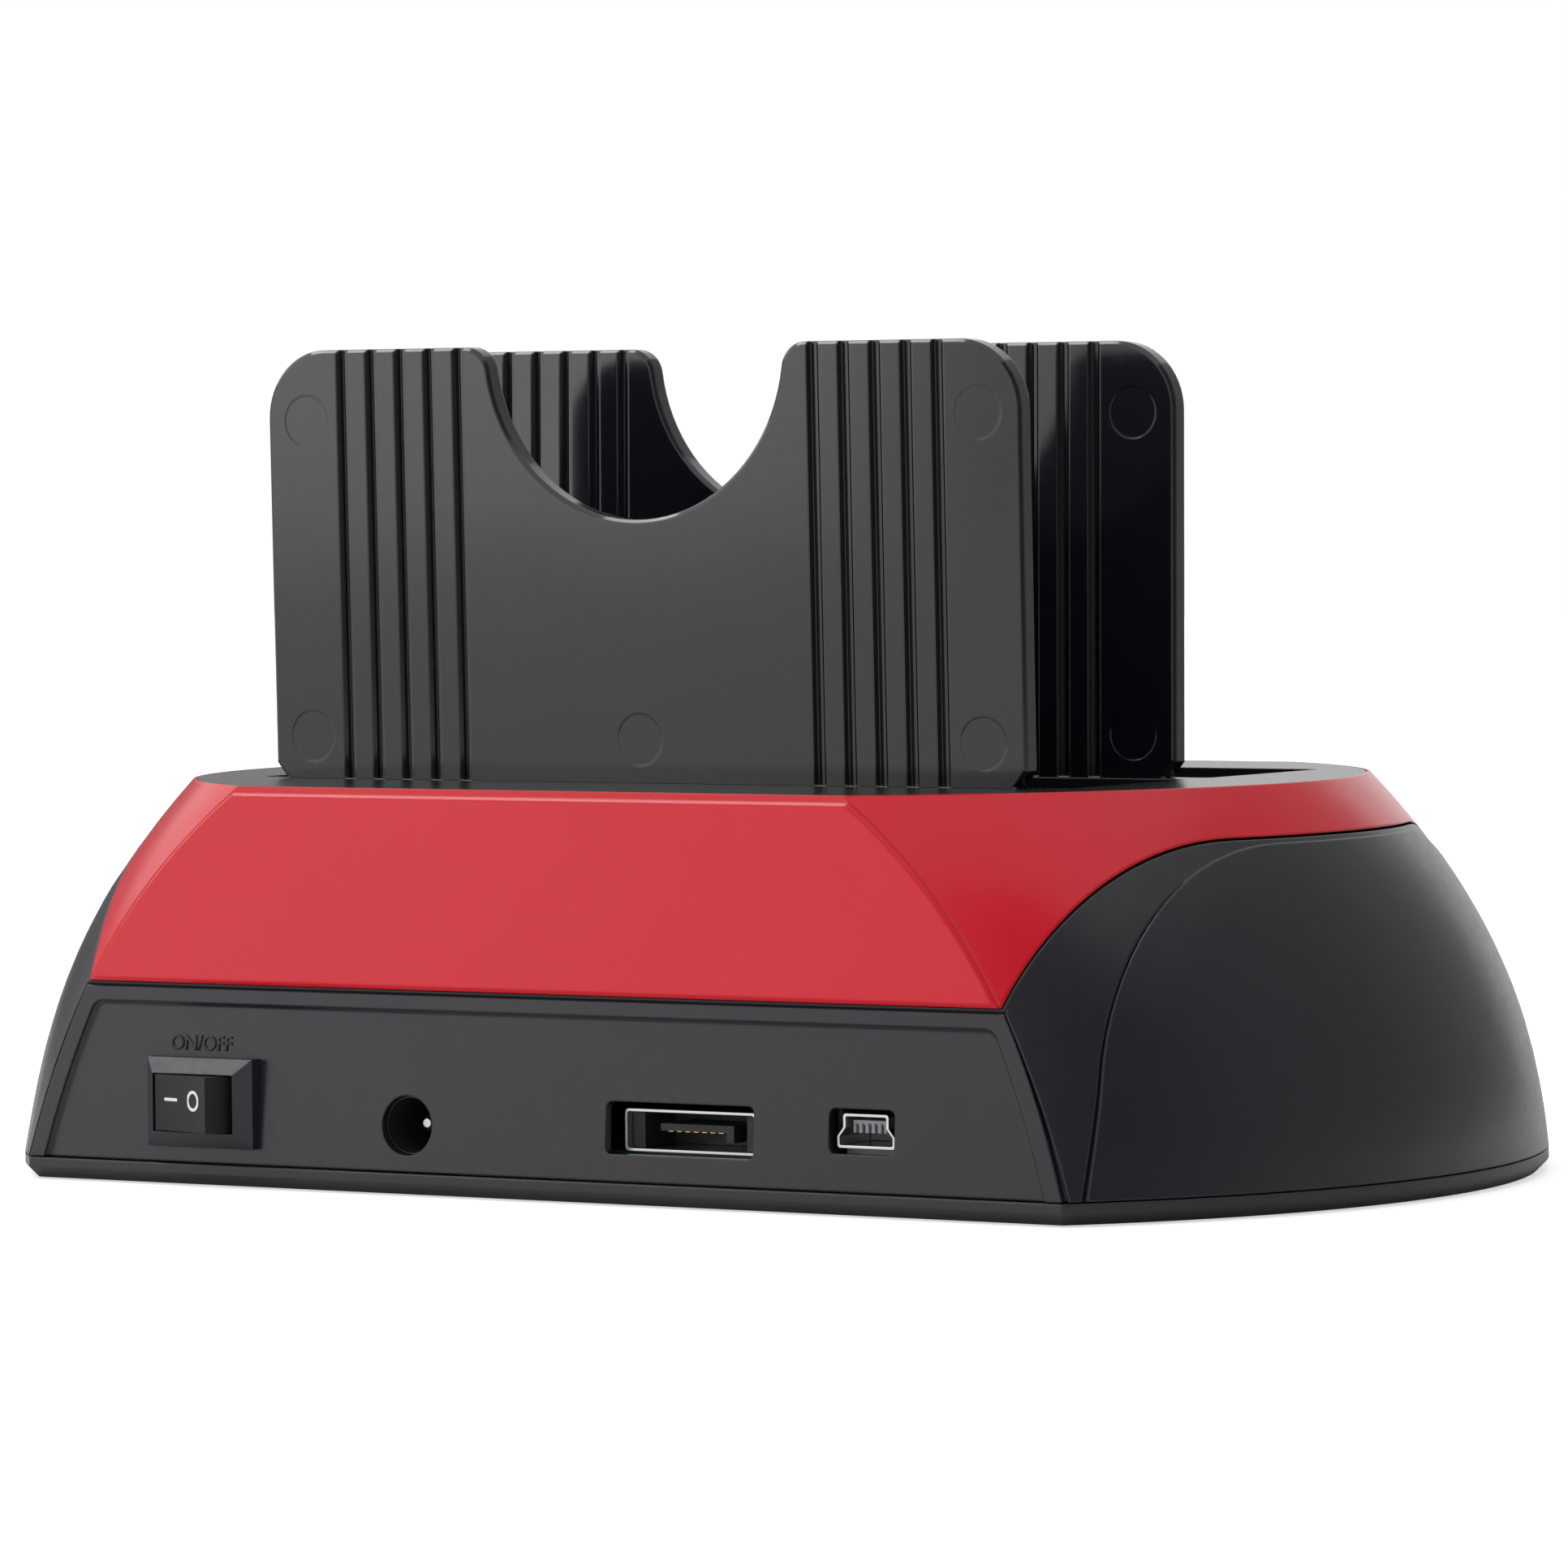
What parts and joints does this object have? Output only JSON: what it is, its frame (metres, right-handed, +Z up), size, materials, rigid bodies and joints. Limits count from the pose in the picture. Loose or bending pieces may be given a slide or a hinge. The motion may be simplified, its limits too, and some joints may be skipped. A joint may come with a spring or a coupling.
{
  "type": "drive duplicator",
  "caption": "Desktop hard-disk dock and duplicator: two top bays with lift-out ribbed back plates, rear port panel with power rocker, front copy button and status lights.",
  "frame": {"origin": "middle of the overall footprint, on the surface the rubber feet stand on", "axes": "+Z up; the user faces the unit from -Y, where the copy button is; the port panel faces +Y; X runs along the length of the bays"},
  "size_m": [0.1822, 0.1136, 0.0963],
  "materials": {
    "body_black": "satin black moulded plastic",
    "shell_red": "semi-gloss red moulded plastic",
    "plate_black": "polished black plastic",
    "inner_black": "plain black plastic",
    "rubber_black": "soft rubber",
    "board_green": "solder-resist coated board",
    "chip_black": "moulded epoxy",
    "port_metal": "nickel-plated sheet steel",
    "contact_metal": "gold-plated contacts",
    "screw_steel": "zinc-plated steel",
    "can_metal": "drawn aluminium can",
    "switch_black": "satin black plastic",
    "tongue_grey": "grey insulator plastic",
    "button_grey": "semi-gloss plastic",
    "light_clear": "clear light pipe"
  },
  "bodies": {
    "housing": {"base_tray": "body_black", "rubber_feet": "rubber_black", "lower_housing": "body_black", "upper_shell": "shell_red", "top_deck": "body_black", "bay_well_rear": "inner_black", "bay_well_front": "inner_black", "main_board": "board_green", "sata_socket_rear": "inner_black", "sata_socket_front": "inner_black", "sata_contacts_rear": "contact_metal", "sata_contacts_front": "contact_metal", "board_screws": "screw_steel", "case_screws": "screw_steel", "bridge_chip": "chip_black", "support_chips": "chip_black", "crystal": "can_metal", "capacitors": "can_metal", "inductor": "chip_black", "switch_frame": "switch_black", "switch_terminals": "contact_metal", "dc_jack_body": "inner_black", "dc_jack_pin": "port_metal", "dc_jack_spring": "port_metal", "esata_shell": "port_metal", "esata_block": "inner_black", "esata_contacts": "contact_metal", "usb_shell": "port_metal", "usb_block": "tongue_grey", "usb_contacts": "contact_metal", "tact_switch": "chip_black", "light_pipes": "light_clear", "indicator_leds": "light_clear"},
    "rear_plate": {"back_plate_rear": "plate_black"},
    "front_plate": {"back_plate_front": "plate_black"},
    "power_rocker": {"switch_rocker": "switch_black"},
    "copy_key": {"copy_button": "button_grey", "tact_plunger": "chip_black"}
  },
  "joints": [
    {"name": "rear_plate_lift", "type": "slide", "parent": "housing", "child": "rear_plate", "axis": [0, 0, 1], "range_m": [0, 0.014]},
    {"name": "front_plate_lift", "type": "slide", "parent": "housing", "child": "front_plate", "axis": [0, 0, 1], "range_m": [0, 0.014]},
    {"name": "power_rocker_turn", "type": "hinge", "parent": "housing", "child": "power_rocker", "pos_m": [0.0446, 0.05207, 0.00975], "axis": [0, 0, 1], "range_deg": [0, 30]},
    {"name": "copy_button_press", "type": "slide", "parent": "housing", "child": "copy_key", "axis": [0, 1, 0], "range_m": [0, 0.0008], "stiffness_N_per_m": 800, "springref_m": -0.0005}
  ]
}
